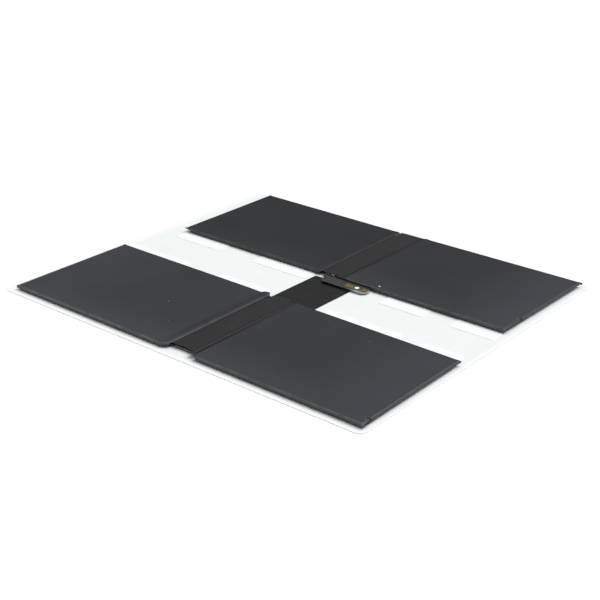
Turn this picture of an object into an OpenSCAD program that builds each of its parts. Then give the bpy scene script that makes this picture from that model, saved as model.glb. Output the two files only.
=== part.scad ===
// Flat battery pack of a large tablet: four pouch cells in two rows, a taped
// circuit board between the cells of each row, a flexible circuit across the
// bay between the rows, and a contact tongue with a screw hole. The pack lies
// on its adhesive strips, which are still covered by their release liner.
// Millimetres, +Z up, origin at the middle of the liner's underside.

/* [Cells] */
// Width of a cell, from front to back
cell_w = 76.8; // [70:0.1:84]
// Thickness of a cell
cell_t = 2.7; // [2.5:0.1:3.2]
// Length of the front left cell
front_left_len = 111.6; // [104:0.1:113]
// Length of the front right cell
front_right_len = 102.3; // [98:0.1:103]
// Length of the rear left cell
rear_left_len = 103.6; // [98:0.1:113]
// Length of the rear right cell
rear_right_len = 99.8; // [98:0.1:103]
// Clear depth of the bay between the front and the rear row
bay_w = 42.8; // [42:0.1:48]

/* [Cell folds] */
// Thickness of the sealed terminal edge that the tabs come out of
seal_t = 0.45; // [0.35:0.05:0.6]
// Length of the thin terminal edge before the cup starts
terrace_len = 2.6; // [2:0.1:3.5]
// Length over which the cup's underside rises to the terminal edge
ramp_len = 8.4; // [6:0.1:9]
// Corner radius of the drawn cup at its far end, seen from above
cup_corner_r = 6; // [3:0.1:8]
// Radius of the cup's lower edges
cup_edge_r = 0.8; // [0.4:0.1:1.2]
// Thickness of a side seal folded down against the cup
fold_t = 0.4; // [0.3:0.05:0.5]
// Width of the slope at the sealed far end of a right cell
end_bevel = 1.1; // [0.8:0.1:2]

/* [Boards] */
// Width of the channel between a row's left and right cell
channel_w = 17.4; // [16.8:0.1:19]
// Width of a circuit board in the channel
board_w = 14.8; // [14.6:0.1:15.2]
// Thickness of the circuit boards
board_t = 0.9; // [0.7:0.1:1]
// Height of the cells' tops above the boards' tops
board_drop = 1.2; // [1.1:0.05:1.3]
// Thickness of the cover tapes
tape_t = 0.12; // [0.08:0.01:0.16]

/* [Contact tongue] */
// Width of the tongue in front of the rear row
tongue_w = 7.2; // [6.8:0.1:8]
// Reach of the tongue past the board's right edge
tongue_reach = 18.4; // [18:0.1:20]
// Radius of the clear hole for the holding screw
screw_hole_r = 1.1; // [0.9:0.05:1.2]

/* [Bridge circuit] */
// Width of the flexible circuit in the bay
flex_w = 28; // [24:0.1:30]
// Thickness of the flexible circuit
flex_t = 0.2; // [0.15:0.05:0.25]

/* [Adhesive and liner] */
// Thickness of the adhesive strips
adhesive_t = 0.2; // [0.15:0.05:0.3]
// Length that a strip reaches into the bay
adhesive_reach = 9.6; // [6:0.1:11]
// Length of the liner
liner_w = 240.5; // [240:0.5:250]
// Depth of the liner
liner_d = 204.6; // [204:0.2:212]
// Thickness of the liner
liner_t = 0.15; // [0.1:0.05:0.2]

/* [Hidden] */
$fn = 48;
eps = 0.05;

ROWS = ["front", "rear"];
SIDES = ["left", "right"];
POLES = ["positive", "negative"];
PLACES = ["outer", "inner"];

// Heights, from the liner's underside upward
tab_t = 0.1;
z_cell = liner_t + adhesive_t;
z_top = z_cell + cell_t;
z_tab = z_top - seal_t;
z_tape = z_tab + tab_t;
z_board_top = z_top - board_drop;
z_board = z_board_top - board_t;
z_flex_tail = z_board - flex_t;

// Places across the pack, along X
channel_x = 6.7;
channel_left = channel_x - channel_w / 2;
channel_right = channel_x + channel_w / 2;
board_shift = 1.2;
board_left = channel_x + board_shift - board_w / 2;
board_right = board_left + board_w;

// Places along the pack, along Y
row_inner = bay_w / 2;
row_outer = row_inner + cell_w;
front_y = -row_outer;
rear_y = row_inner;

// Cell details
cup_inset = fold_t - eps;
cup_end_gap = 0.5;
cup_draft = 0.15;
cup_terminal_r = 1.6;
fold_low = 0.7;
ridge_r = 0.45;
ridge_rise = 0.1;
valley_r = 16;
valley_drop = 0.12;
valley_x = 4.4;
lid_t = 0.3;
sharp_corner_r = 0.8;
soft_corner_r = 5;

// Slope at the far end of a left and a right cell: width, then drop
end_slopes = [[end_bevel / 2, 0.5], [end_bevel, 0.9]];

// How a side seal ends at the far end, for the left and the right cell of the
// front and the rear row: over what length its lower edge rises, to what height
// at the end, how far it reaches past the end, and the lower edge there
front_seal_ends = [
    [[8, 1, 0.8, 1.2], [2, 0.9, 0.2, 1]],
    [[14, 2.1, 1, 2.4], [2, 0.9, 0.2, 1]]];
rear_seal_ends = [
    [[4, 1.4, 0.5, 1.7], [4, 1.4, 1.2, 1.4]],
    [[4, 1.4, 0.5, 1.7], [4, 1.6, 2.4, 2.3]]];

// Ear behind the terminal corner of the front left cell
terminal_ear_x = [0.9, 1.5, 4.6, 6.2];
terminal_ear_out = 1.9;

// Folded flap at the front corner of a right cell's far end, for the front and
// the rear row: its length and how much it widens the slope, and the nick at
// its end
flaps = [[3.6, 0.8], [16, 1.2]];
nick_depth = 0.8;
nick_half_w = 1;

// Tabs
tab_w = 8;
tab_offsets = [18, 56];
tab_straight = 0.5;
tab_bend = 2.1;
tab_landing = 4;

// Boards and foam
board_corner_r = 0.6;
front_board_front_gap = 4.4;
front_foam_setback = 3;
front_board_rear_gap = 2.5;
rear_board_rear_gap = 1.6;
foam_inset = 0.5;
tail_zone = 12.6;

// Contact tongue
tongue_gap = 0.4;
tongue_left_step = 3;
tongue_corner_r = 3.2;
tongue_chamfer = 1.6;
tongue_front = row_inner - tongue_gap - tongue_w;
hole_from_end = 7.3;
eyelet_wall = 0.25;
eyelet_flange = 0.45;
plate_t = 0.08;
pad_margin = 1.5;
pad_depth = 3.7;
near_pad_corner_r = 0.3;
far_pad_corner_r = 1.2;
near_pad_w = 5.9;
far_pad_w = 4.4;
near_pad_clear = 1.6;
far_pad_clear = 2.6;
tongue_inner_r = 1;
hole_x = board_right + tongue_reach - hole_from_end;
hole_y = tongue_front + tongue_w / 2;

// Bridge circuit
flex_shift = 3.7;
flex_left = channel_x + flex_shift - flex_w / 2;
flex_front_tuck = 1.6;
flex_rear_gap = 2.1;
flex_step_x = 18;
flex_step_y = 14.3;
flex_corner_r = 0.8;
tail_inset = 0.8;
tail_bend_from = 1.6;
tail_bend_len = 3.5;
tail_len = 6.5;
tail_lap = 1;

// Cover tapes
wing_from = 3.4;
wing_rise = 0.16;
front_tape_gaps = [0.5, 0.15];
rear_tape_gaps = [0.8, 0.3];
front_tape_setback = 4.2;
front_tape_lug = 2.8;
lug_gap = 1.2;
front_tape_rear = 1;
front_tape_rear_right = 0.2;
drape_w = 11;
drape_end = 4.2;
drape_flat = 2.4;
rear_tape_front_gap = 1;
rear_tape_rear_gap = 0.8;

// Parts on the boards
part_h = z_tape - z_board_top;
chip_chamfer = 0.2;
pin_w = 0.35;
pin_t = 0.15;
pin_reach = 0.3;
pin_pitch = 0.9;
cap_w = 0.4;
cap_proud = 0.04;

// Places of the parts on the rear board, counted from the board's left edge
// and the row's front edge, and their sizes
gauge_place = [8.5, 0];
gauge_size = [5, 6.4, part_h];
protection_place = [5.6, 9.4];
protection_size = [3.6, 4, part_h];
charge_place = [2.7, 26];
discharge_place = [2.7, 31];
mosfet_size = [4.6, 3, part_h];
resistor_place = [9.2, 26.8];
resistor_size = [3.2, 6.4, 0.6];
thermistor_place = [1.4, 0.1];
thermistor_size = [2.1, 1.9, 0.75];
input_place = [4.6, 0];
input_size = [2.2, 1.5, 0.75];
filter_place = [11, 9.6];
filter_size = [1.3, 2.2, 0.75];

// Places of the two rows' thermal fuses, and their size
fuse_places = [[4.4, 34], [4.4, 40]];
fuse_size = [3.6, 5.6, part_h];

// Adhesive strips: distance from the terminal end, then width, in the order
// outer and inner
strip_places = [
    [[[67, 47.8], [4, 39]], [[74.3, 23.8], [15.5, 46.6]]],
    [[[68.5, 34.5], [4, 38.5]], [[73.1, 25.7], [29.1, 26.9]]]];
strip_outer_gap = 4;
strip_corner_r = 1;
liner_corner_r = 4;

cell_lens = [[front_left_len, front_right_len], [rear_left_len, rear_right_len]];
function cell_len(row, side) = cell_lens[row][side];
function row_y(row) = row == 0 ? front_y : rear_y;
function lifted(line, dz) = [for (p = line) [p[0], p[1] + dz]];
function reversed(line) = [for (i = [len(line) - 1 : -1 : 0]) line[i]];

// Points of a soft S-bend from one point to another
bend_steps = 10;
function s_bend(from, to) = [for (i = [0 : bend_steps])
    let (t = i / bend_steps, ease = t * t * (3 - 2 * t))
    [from[0] + (to[0] - from[0]) * t, from[1] + (to[1] - from[1]) * ease]];

// Strip of constant thickness whose underside follows a line
module strap(line, thickness) {
    polygon(concat(line, lifted(reversed(line), thickness)));
}

// Extrudes an outline drawn in X and Z across the depth
module along_y(depth) {
    translate([0, depth, 0]) rotate([90, 0, 0]) linear_extrude(depth) children();
}

// Extrudes an outline drawn in Y and Z along the length
module along_x(length) {
    rotate([90, 0, 90]) linear_extrude(length) children();
}

// Rectangle between two corners, with round corners
module round_rect(low, high, r) {
    translate([low[0] + r, low[1]]) square([high[0] - low[0] - 2 * r, high[1] - low[1]]);
    translate([low[0], low[1] + r]) square([high[0] - low[0], high[1] - low[1] - 2 * r]);
    for (x = [low[0] + r, high[0] - r]) {
        for (y = [low[1] + r, high[1] - r]) {
            translate([x, y]) circle(r);
        }
    }
}

// Block with round upright edges
module round_block(low, high, r) {
    translate([0, 0, low[2]]) linear_extrude(high[2] - low[2]) round_rect(low, high, r);
}

// Puts a cell's own frame in place: terminal end in the channel, X outward
module at_cell(row, side) {
    translate([side == 0 ? channel_left : channel_right, row_y(row), z_cell])
        mirror([side == 0 ? 1 : 0, 0, 0]) children();
}

// Side outline of the whole cell under its lid, with the ramp at the terminal end
module under_lid(length) {
    polygon([
        [0, cell_t], [0, cell_t - seal_t], [terrace_len, cell_t - seal_t],
        [terrace_len + ramp_len, 0], [length, 0], [length, cell_t]]);
}

// Drawn cup: drafted side walls and round lower edges
module cup(length) {
    far = length - cup_end_gap;
    intersection() {
        linear_extrude(cell_t - lid_t / 2) union() {
            round_rect([terrace_len, cup_inset], [far, cell_w - cup_inset], cup_corner_r);
            round_rect([terrace_len, cup_inset], [far / 2, cell_w - cup_inset], cup_terminal_r);
        }
        along_x(length) difference() {
            polygon([
                [cup_inset + cup_draft, 0], [cell_w - cup_inset - cup_draft, 0],
                [cell_w - cup_inset, cell_t], [cup_inset, cell_t]]);
            for (flip = [0, 1]) {
                translate([flip * cell_w, 0]) mirror([flip, 0])
                    translate([cup_inset + cup_draft, 0]) edge_cutter(cup_edge_r);
            }
        }
        along_y(cell_w) difference() {
            under_lid(far);
            translate([far, 0]) mirror([1, 0]) edge_cutter(cup_edge_r);
        }
    }
}

// What a round edge takes off a square corner
module edge_cutter(r) {
    difference() {
        translate([-r, -r]) square(2 * r);
        translate([r, r]) circle(r);
    }
}

// Flat lid laminate: rolled edge at the terminal end, slope at the far end
module lid(length, slope) {
    lip_z = cell_t - slope[1];
    translate([0, fold_t, 0]) along_y(cell_w - 2 * fold_t) {
        polygon([
            [0, cell_t - seal_t], [0, cell_t], [length - slope[0], cell_t],
            [length, lip_z], [length - lid_t / 2, lip_z - lid_t],
            [length - slope[0], cell_t - lid_t], [terrace_len, cell_t - lid_t],
            [terrace_len, cell_t - seal_t]]);
        translate([ridge_r, cell_t - ridge_r + ridge_rise]) circle(ridge_r);
    }
}

// Side seal folded down against the cup, with a round shoulder at the lid. Its
// lower edge rises towards the far end, and its end reaches past the cell as an ear
module side_fold(length, end) {
    tip = length + end[2];
    intersection() {
        along_x(tip) union() {
            translate([fold_t, cell_t - fold_t]) intersection() {
                circle(fold_t);
                translate([-fold_t, 0]) square(fold_t);
            }
            translate([0, fold_low + fold_t / 2])
                square([fold_t, cell_t - fold_low - 1.5 * fold_t]);
            translate([fold_t / 2, fold_low + fold_t / 2]) circle(fold_t / 2);
        }
        along_y(fold_t) difference() {
            under_lid(tip);
            polygon([[length - end[0], 0], [length, end[1]], [tip, end[3]], [tip, 0]]);
        }
    }
}

// Corner of the terminal edge that sticks out behind a cell
module terminal_ear() {
    x = terminal_ear_x;
    translate([0, cell_w, cell_t - seal_t]) linear_extrude(seal_t) polygon([
        [x[0], -fold_t], [x[1], terminal_ear_out], [x[2], terminal_ear_out], [x[3], -fold_t]]);
}

// What the folded flap takes off the lid: a wider slope that narrows to the
// nick at the flap's end
module flap_cut(length, flap_len, extra) {
    reach = end_bevel + extra;
    drop = end_slopes[1][1];
    translate([length - reach, 0, 0]) rotate([0, 0, -atan(extra / flap_len)])
        along_y(flap_len) polygon([
            [0, cell_t], [reach, cell_t - drop], [2 * reach, cell_t - drop],
            [2 * reach, 2 * cell_t], [0, 2 * cell_t]]);
    translate([length, flap_len, cell_t - drop - 2 * lid_t]) linear_extrude(cell_t)
        polygon([[-nick_depth, 0], [nick_depth, -2 * nick_half_w], [nick_depth, 2 * nick_half_w]]);
}

// Pouch cell in its own frame
module pouch_cell(row, side) {
    length = cell_len(row, side);
    front_corner_r = row == 0 && side == 0 ? soft_corner_r : sharp_corner_r;
    color("dimgray") at_cell(row, side) union() {
        difference() {
            union() {
                cup(length);
                lid(length, end_slopes[side]);
                side_fold(length, front_seal_ends[row][side]);
                translate([0, cell_w, 0]) mirror([0, 1, 0])
                    side_fold(length, rear_seal_ends[row][side]);
            }
            translate([valley_x, 0, cell_t + valley_r - valley_drop])
                along_y(cell_w) circle(valley_r, $fn = 3 * $fn);
            translate([0, 0, -cell_t]) linear_extrude(3 * cell_t) edge_cutter(front_corner_r);
            translate([0, cell_w, -cell_t]) mirror([0, 1, 0])
                linear_extrude(3 * cell_t) edge_cutter(sharp_corner_r);
            if (side == 1) flap_cut(length, flaps[row][0], flaps[row][1]);
        }
        if (row == 0 && side == 0) terminal_ear();
    }
}

// Terminal tab: out of the sealed edge, down in an S-bend and flat on the board
module cell_tab(row, side, pole) {
    landing = z_board_top - z_cell;
    exit = z_tab - z_cell;
    bend = s_bend([-tab_straight, exit], [-tab_straight - tab_bend, landing]);
    line = concat([[0, exit]], bend, [[-tab_straight - tab_bend - tab_landing, landing]]);
    color(pole == 0 ? "silver" : "gainsboro") at_cell(row, side)
        translate([0, tab_offsets[pole] - tab_w / 2, 0]) along_y(tab_w) strap(line, tab_t);
}

// Board of the front row, which gathers the tabs of its two cells
module front_board() {
    color("darkslategray") round_block(
        [board_left, front_y + front_board_front_gap, z_board],
        [board_right, -row_inner - front_board_rear_gap, z_board_top], board_corner_r);
}

// Outline of the rear board with the contact tongue in front of it
module rear_board_plan() {
    round_rect([board_left, tongue_front + tongue_w - board_corner_r],
        [board_right, row_outer - rear_board_rear_gap], board_corner_r);
    difference() {
        round_rect([board_left + tongue_left_step, tongue_front],
            [board_right + tongue_reach, tongue_front + tongue_w], tongue_corner_r);
        translate([hole_x, hole_y]) circle(screw_hole_r + eyelet_wall);
    }
    polygon([
        [board_left + tongue_left_step, tongue_front + tongue_chamfer],
        [board_left + tongue_left_step + tongue_chamfer, tongue_front],
        [board_right, tongue_front],
        [board_right, tongue_front + tongue_w + tongue_inner_r],
        [board_left + tongue_left_step, tongue_front + tongue_w + tongue_inner_r]]);
}

module rear_board() {
    color("darkslategray") translate([0, 0, z_board]) linear_extrude(board_t) rear_board_plan();
}

// Foam that carries a board on the liner and stops short of the circuit's tail
module foam_strip(row) {
    low_y = row == 0 ? front_y + front_board_front_gap + front_foam_setback : row_inner + tail_zone;
    high_y = row == 0 ? -row_inner - tail_zone : row_outer - rear_board_rear_gap;
    color("black") round_block(
        [board_left + foam_inset, low_y, liner_t],
        [board_right - foam_inset, high_y, z_board], board_corner_r);
}

// Tail of the bridge circuit, drawn towards +Y: up to the board's underside
module flex_tail(start_gap) {
    bend_start = row_inner + tail_bend_from;
    bend_end = bend_start + tail_bend_len;
    line = concat([[row_inner - start_gap, liner_t]],
        s_bend([bend_start, liner_t], [bend_end, z_flex_tail]),
        [[bend_end + tail_len, z_flex_tail]]);
    translate([board_left + tail_inset, 0, 0]) along_x(board_w - 2 * tail_inset)
        strap(line, flex_t);
}

// Flexible circuit across the bay, with a step at its rear right corner
module bridge_flex() {
    color("black") union() {
        round_block([flex_left, -row_inner - flex_front_tuck, liner_t],
            [flex_left + flex_w, flex_step_y, liner_t + flex_t], flex_corner_r);
        round_block([flex_left, 0, liner_t],
            [flex_step_x, row_inner - flex_rear_gap, liner_t + flex_t], flex_corner_r);
        flex_tail(flex_rear_gap + tail_lap);
        mirror([0, 1, 0]) flex_tail(-flex_front_tuck + tail_lap);
    }
}

// Cross section of a cover tape: flat, with its right edge turned up
module tape_section(right) {
    strap([[channel_left, z_tape], [right - wing_from, z_tape],
        [right - wing_from / 2, z_tape + wing_rise / 2], [right, z_tape + wing_rise]], tape_t);
}

// Plan of a cover tape's right side: the gap to the right cell narrows
function tape_right(gaps, y0, y1) = [[channel_right - gaps[0], y0], [channel_right - gaps[1], y1]];

// Tape over the front board: set back at its front end, but for a lug at the
// right, and draped down onto the bridge circuit at its rear end
module front_cover_tape() {
    start = front_y + front_tape_setback;
    lug_start = front_y + lug_gap;
    lug_x = channel_right - front_tape_gaps[0] - front_tape_lug;
    drape_start = -row_inner - front_tape_rear;
    drape_foot = -row_inner + drape_end;
    rear = -row_inner - front_tape_rear_right;
    foot = liner_t + flex_t;
    color("black") union() {
        intersection() {
            translate([0, lug_start, 0]) along_y(rear - lug_start)
                tape_section(channel_right - front_tape_gaps[1]);
            linear_extrude(z_top + tape_t) polygon(concat(
                [[channel_left, start], [lug_x, start], [lug_x, lug_start]],
                tape_right(front_tape_gaps, lug_start, rear),
                [[channel_left + drape_w, rear], [channel_left + drape_w, drape_start],
                    [channel_left, drape_start]]));
        }
        translate([channel_left, 0, 0]) along_x(drape_w) strap(
            concat([[drape_start - eps, z_tape]], s_bend([drape_start, z_tape], [drape_foot, foot]),
                [[drape_foot + drape_flat, foot]]),
            tape_t);
    }
}

// Tape over the rear board
module rear_cover_tape() {
    start = row_inner + rear_tape_front_gap;
    end = row_outer - rear_tape_rear_gap;
    color("black") intersection() {
        translate([0, start, 0]) along_y(end - start) tape_section(channel_right - rear_tape_gaps[1]);
        linear_extrude(z_top + tape_t) polygon(concat(
            [[channel_left, start]], tape_right(rear_tape_gaps, start, end), [[channel_left, end]]));
    }
}

// Plated eyelet in the tongue, with a flat rim on top
module screw_eyelet() {
    color("silver") translate([hole_x, hole_y, z_board]) difference() {
        union() {
            cylinder(h = board_t, r = screw_hole_r + eyelet_wall);
            translate([0, 0, board_t]) cylinder(h = plate_t, r = screw_hole_r + eyelet_flange);
        }
        translate([0, 0, -eps]) cylinder(h = board_t + plate_t + 2 * eps, r = screw_hole_r);
    }
}

// Gold contact pads on the tongue, on either side of the screw hole
module contact_pad(left, width, end_r) {
    front = tongue_front + pad_margin - eps;
    color("goldenrod") translate([0, 0, z_board_top]) linear_extrude(plate_t)
        round_rect([left, front], [left + width, front + pad_depth], end_r);
}

module positive_contact_pad() {
    contact_pad(hole_x - near_pad_clear - near_pad_w, near_pad_w, near_pad_corner_r);
}

module negative_contact_pad() {
    contact_pad(hole_x + far_pad_clear, far_pad_w, far_pad_corner_r);
}

// Puts a part's own frame on a board, at its place in the row
module on_board(row, place) {
    translate([board_left + place[0], row_y(row) + place[1], z_board_top]) children();
}

// Chip soldered on the rear board: a body with its upper edges cut, and a row
// of pins on either side
module chip(place, size) {
    pins = floor(size[1] / pin_pitch);
    first = (size[1] - (pins - 1) * pin_pitch) / 2;
    c = chip_chamfer;
    color("black") on_board(1, place) union() {
        along_y(size[1]) polygon([
            [0, 0], [size[0], 0], [size[0], size[2] - c], [size[0] - c, size[2]],
            [c, size[2]], [0, size[2] - c]]);
        for (i = [0 : pins - 1]) {
            translate([-pin_reach, first + i * pin_pitch - pin_w / 2, 0])
                cube([size[0] + 2 * pin_reach, pin_w, pin_t]);
        }
    }
}

// Two-ended part soldered on a board, with a metal cap on its front and rear end
module capped_part(row, place, size, tint) {
    color(tint) on_board(row, place) union() {
        translate([cap_proud, cap_w / 2, 0])
            cube([size[0] - 2 * cap_proud, size[1] - cap_w, size[2] - cap_proud]);
        for (y = [0, size[1] - cap_w]) {
            translate([0, y, 0]) cube([size[0], cap_w, size[2]]);
        }
    }
}

module gauge_chip() {
    chip(gauge_place, gauge_size);
}

module protection_chip() {
    chip(protection_place, protection_size);
}

module charge_mosfet() {
    chip(charge_place, mosfet_size);
}

module discharge_mosfet() {
    chip(discharge_place, mosfet_size);
}

module sense_resistor() {
    capped_part(1, resistor_place, resistor_size, "dimgray");
}

module thermistor() {
    capped_part(1, thermistor_place, thermistor_size, "black");
}

module input_capacitor() {
    capped_part(1, input_place, input_size, "tan");
}

module filter_capacitor() {
    capped_part(1, filter_place, filter_size, "tan");
}

// Thermal fuse in a row's current path
module thermal_fuse(row) {
    capped_part(row, fuse_places[row], fuse_size, "dimgray");
}

// Double-sided adhesive strip under a cell, reaching out into the bay
module adhesive_strip(row, side, place) {
    near = strip_places[row][side][place][0];
    width = strip_places[row][side][place][1];
    low_y = row == 0 ? strip_outer_gap : -adhesive_reach;
    high_y = row == 0 ? cell_w + adhesive_reach : cell_w - strip_outer_gap;
    color("white") at_cell(row, side) translate([0, 0, -adhesive_t])
        round_block([near, low_y, 0], [near + width, high_y, adhesive_t], strip_corner_r);
}

// Release liner, the surface that the pack lies on
module release_liner() {
    color("aliceblue") round_block([-liner_w / 2, -liner_d / 2, 0],
        [liner_w / 2, liner_d / 2, liner_t], liner_corner_r);
}

for (r = [0, 1]) {
    for (s = [0, 1]) {
        name = str(ROWS[r], "_", SIDES[s]);
        pouch_cell(r, s);
        for (p = [0, 1]) {
            cell_tab(r, s, p);
            adhesive_strip(r, s, p);
        }
    }
    foam_strip(r);
    thermal_fuse(r);
}
front_board();
rear_board();
bridge_flex();
front_cover_tape();
rear_cover_tape();
screw_eyelet();
positive_contact_pad();
negative_contact_pad();
gauge_chip();
protection_chip();
charge_mosfet();
discharge_mosfet();
sense_resistor();
thermistor();
input_capacitor();
filter_capacitor();
release_liner();
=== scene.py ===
import math

import bmesh
import bpy
import numpy as np
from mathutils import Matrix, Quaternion, Vector


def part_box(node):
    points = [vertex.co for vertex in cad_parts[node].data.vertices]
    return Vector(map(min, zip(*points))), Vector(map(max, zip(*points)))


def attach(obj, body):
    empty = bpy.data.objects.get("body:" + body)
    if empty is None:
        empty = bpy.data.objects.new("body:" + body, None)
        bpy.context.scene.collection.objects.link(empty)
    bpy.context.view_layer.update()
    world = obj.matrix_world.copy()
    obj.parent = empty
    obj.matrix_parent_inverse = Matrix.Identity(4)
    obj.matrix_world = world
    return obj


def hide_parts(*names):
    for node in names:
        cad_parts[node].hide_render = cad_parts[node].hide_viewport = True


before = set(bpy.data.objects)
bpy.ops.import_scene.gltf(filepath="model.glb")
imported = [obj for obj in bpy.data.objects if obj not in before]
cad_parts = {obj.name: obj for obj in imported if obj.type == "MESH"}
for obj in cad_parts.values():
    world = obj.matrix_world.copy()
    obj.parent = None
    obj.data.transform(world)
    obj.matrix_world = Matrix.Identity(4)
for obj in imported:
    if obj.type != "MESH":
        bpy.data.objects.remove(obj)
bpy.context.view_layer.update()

MM = 0.001
WELD = 1e-7
SHARP_ANGLE = math.radians(38)

# Camera, fitted to the straight edges of the cells
FOCAL_PX = 1223.55
FRAME_PX = 600
SENSOR_MM = 36
AZIMUTH = 39.726
ELEVATION = 24.132
ROLL = 0.10
TARGET = (10.907, -11.705, 0.35)
DISTANCE = 644.25

# Light, and the floor that the pack lies on, whose seen colour is a little darker beside the pack: a painted
# shade round it
SKY_LOW = 0.03
SKY_HIGH = 0.65
SUN_STRENGTH = 2.1
SUN_SPREAD = 50
SUN_LEAN = (0.4, 0.35)
FLOOR_HALF = 6
FLOOR_Z = -0.0001
FLOOR_SEEN = 1.0
FLOOR_COLOUR = 0.85
FLOOR_NEAR_SHADE = (0.945, 0.95, 0.945)
FLOOR_FROM = (0.118, 0.1)
FLOOR_FADE = 0.03

# Where parts of a finish begin and are full, in metres: the liner's margins, painted lighter
# as painted light, the tongue with the painted highlight on its upper edge, the lighter part round its tip
# and the rim's width
LINER_FRONT = (-0.0985, -0.1005)
LINER_RIGHT = (0.117, 0.119)
LINER_LEFT = (-0.1145, -0.1165)
TONGUE_Y = (0.0, 0.005)
CROWN_Z = (0.00135, 0.00165)
LIGHT_TIP_X = (0.023, 0.029)
RIM_Y = (0.0153, 0.0143)
HOLE_GLOW = 0.5

# Cells, in millimetres in each cell's own frame: terminal end at 0, front side at 0
CELL_W = 76.8
CELL_T = 2.7
EDGE_R = 0.8
FOLD_T = 0.4
FOLD_LOW = 0.7
SHOULDER_R = 0.45
SEAL_T = 0.45
TERRACE = 2.6
RAMP = 8.4
CUP_END_GAP = 0.5
CUP_DRAFT = 0.15
CUP_CORNER_R = 6
CUP_ROWS = 4
SHARP_CORNER_R = 0.8
LID_T = 0.3

# Terminal edge: width of the rolled tip, end of the crest, bottom of the valley
# behind it and the place where the top is level again
ROLL_W = 1.3
CREST_END = 2.4
VALLEY_X = 6.0
LEVEL_X = 16

# How far the slant of a cell's terminal end reaches, from what share of its length the
# far end's slant and the painted sheen that lightens the film begin, and how wide the painted sheen at the
# front is
START_REACH = 40
END_FROM = 0.4
OUTER_SHEEN_FROM = 0.45
FRONT_SHEEN_W = 28

# Ends of the folded side seals past the far ends, and the ear behind the front left
# cell's terminal corner: where its two ends are beside the cell and at the tip
EAR_ROOT = 1.5
TERMINAL_EAR_CELL = "front_left_cell"
TERMINAL_EAR_NEAR = (0.9, 1.5)
TERMINAL_EAR_FAR = (6.2, 4.6)
TERMINAL_EAR_OUT = 1.9

# Folded flap at a far end's front corner: how much lower it lies, the depth of the
# nick at its end, where the nick's middle is past the flap, half its width, and the
# stretch round its middle where a cell's rings have more points
FLAP_DROP = 0.35
NICK_DEPTH = 1.0
NICK_X = 0.6
NICK_HALF = 1.3
NICK_FINE = (-1.2, 1.0)

# Tapes over the boards: where the front one starts to fall onto the bridge circuit, the
# places of their right edges at their front and rear ends, what the rear one is longer
# than its node, and the front one's lug at the front and its draped part at the rear,
# which lie right of LUG_X and left of DRAPE_X
TAPE_T = 0.12
FRONT_TAPE_END = -21.6
DRAPE_START = -22.4
FRONT_TAPE_RIGHT = (16.2, 15.3)
REAR_TAPE_RIGHT = (13.3, 14.25)
REAR_TAPE_MORE = 0.9
LUG_X = 11.7
LUG_OUT = 3.0
DRAPE_X = 8

# Leads and end caps of the parts on the boards
LEAD_PITCH = 0.9
LEAD_W = 0.35
LEAD_T = 0.12
LEAD_RISE = 0.38
LEAD_REACH = 0.3
CAP_W = 0.4

# Sealing film on the tabs, counted from the middle of the channel
CHANNEL_X = 6.7
SEALANT_FROM = 7.3


def add_camera():
    a, e = math.radians(AZIMUTH), math.radians(ELEVATION)
    forward = Vector((-math.sin(a) * math.cos(e), math.cos(a) * math.cos(e), -math.sin(e)))
    data = bpy.data.cameras.new("photo_camera")
    data.sensor_width = SENSOR_MM
    data.lens = FOCAL_PX / FRAME_PX * SENSOR_MM
    data.clip_start = 10 * MM
    data.clip_end = 50
    cam = bpy.data.objects.new("photo_camera", data)
    bpy.context.scene.collection.objects.link(cam)
    cam.location = (Vector(TARGET) - forward * DISTANCE) * MM
    turn = forward.to_track_quat("-Z", "Y")
    cam.rotation_mode = "QUATERNION"
    cam.rotation_quaternion = turn @ Quaternion((0, 0, 1), math.radians(ROLL))
    bpy.context.scene.camera = cam


# Shader building blocks


def feed(tree, made, inputs):
    """Sets inputs of a node to values, or links them to sockets."""
    for key, value in inputs.items():
        if isinstance(value, bpy.types.NodeSocket):
            tree.links.new(value, made.inputs[key])
        else:
            made.inputs[key].default_value = value
    return made


def add_node(tree, kind, inputs=None, **settings):
    """A node with its settings, and its inputs set or linked."""
    made = tree.nodes.new(kind)
    for key, value in settings.items():
        setattr(made, key, value)
    return feed(tree, made, inputs or {})


def maths(tree, operation, a, b=0.0, clamp=False):
    return add_node(tree, "ShaderNodeMath", {0: a, 1: b}, operation=operation, use_clamp=clamp).outputs[0]


def ramp(tree, value, low, high, to_low=0.0, to_high=1.0):
    """Maps a value smoothly from one range to another."""
    return add_node(
        tree, "ShaderNodeMapRange",
        {"Value": value, "From Min": low, "From Max": high, "To Min": to_low, "To Max": to_high},
        interpolation_type="SMOOTHSTEP").outputs["Result"]


def blend_colour(tree, share, a, b):
    return add_node(tree, "ShaderNodeMix", {0: share, 6: a, 7: b}, data_type="RGBA").outputs[2]


def new_group(name, inputs, outputs):
    tree = bpy.data.node_groups.new(name, "ShaderNodeTree")
    for label, kind, value in inputs:
        socket = tree.interface.new_socket(label, in_out="INPUT", socket_type=kind)
        if value is not None:
            socket.default_value = value
    for label, kind in outputs:
        tree.interface.new_socket(label, in_out="OUTPUT", socket_type=kind)
    return tree, tree.nodes.new("NodeGroupInput"), tree.nodes.new("NodeGroupOutput")


def grain_group():
    """Fine two-scale relief of a matt film."""
    tree, given, out = new_group(
        "film_grain",
        [("Vector", "NodeSocketVector", None), ("Scale", "NodeSocketFloat", 2500.0)],
        [("Height", "NodeSocketFloat")])
    coarse = add_node(
        tree, "ShaderNodeTexNoise",
        {"Vector": given.outputs["Vector"], "Scale": given.outputs["Scale"], "Detail": 3.0})
    finer = maths(tree, "MULTIPLY", given.outputs["Scale"], 2.7)
    fine = add_node(
        tree, "ShaderNodeTexNoise",
        {"Vector": given.outputs["Vector"], "Scale": finer, "Detail": 2.0})
    total = maths(
        tree, "ADD", maths(tree, "MULTIPLY", coarse.outputs[0], 0.6),
        maths(tree, "MULTIPLY", fine.outputs[0], 0.4))
    tree.links.new(total, out.inputs["Height"])
    return tree


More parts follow.
